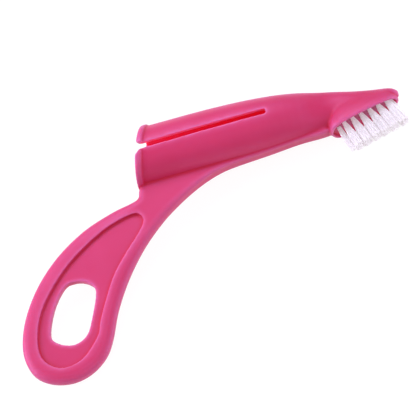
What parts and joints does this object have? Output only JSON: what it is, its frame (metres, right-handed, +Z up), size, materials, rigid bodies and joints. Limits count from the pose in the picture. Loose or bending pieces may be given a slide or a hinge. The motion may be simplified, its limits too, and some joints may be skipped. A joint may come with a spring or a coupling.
{
  "type": "finger toothbrush",
  "caption": "Pet finger toothbrush: slit finger sleeve with a bristle head and a flat loop handle, moulded in one piece.",
  "frame": {"origin": "centre of the bounding box at its base, on the table the brush lies on", "axes": "+X along the finger sleeve from its mouth to the toe of the brush head, within 2 degrees; +Y across the object, away from the loop handle and the bristles; +Z up from the table, towards the side with the slit"},
  "size_m": [0.1486, 0.0856, 0.0228],
  "materials": {
    "pink_plastic": "satin moulded polypropylene, slightly translucent",
    "nylon": "white nylon filaments",
    "anchor_brass": "cut strip"
  },
  "bodies": {
    "root": {"body": "pink_plastic", "tuft_lower_1": "nylon", "tuft_lower_2": "nylon", "tuft_lower_3": "nylon", "tuft_lower_4": "nylon", "tuft_lower_5": "nylon", "tuft_lower_6": "nylon", "tuft_middle_1": "nylon", "tuft_middle_2": "nylon", "tuft_middle_3": "nylon", "tuft_middle_4": "nylon", "tuft_middle_5": "nylon", "tuft_middle_6": "nylon", "tuft_middle_7": "nylon", "tuft_upper_1": "nylon", "tuft_upper_2": "nylon", "tuft_upper_3": "nylon", "tuft_upper_4": "nylon", "tuft_upper_5": "nylon", "tuft_upper_6": "nylon", "anchor_lower_1": "anchor_brass", "anchor_lower_2": "anchor_brass", "anchor_lower_3": "anchor_brass", "anchor_lower_4": "anchor_brass", "anchor_lower_5": "anchor_brass", "anchor_lower_6": "anchor_brass", "anchor_middle_1": "anchor_brass", "anchor_middle_2": "anchor_brass", "anchor_middle_3": "anchor_brass", "anchor_middle_4": "anchor_brass", "anchor_middle_5": "anchor_brass", "anchor_middle_6": "anchor_brass", "anchor_middle_7": "anchor_brass", "anchor_upper_1": "anchor_brass", "anchor_upper_2": "anchor_brass", "anchor_upper_3": "anchor_brass", "anchor_upper_4": "anchor_brass", "anchor_upper_5": "anchor_brass", "anchor_upper_6": "anchor_brass"}
  },
  "joints": []
}
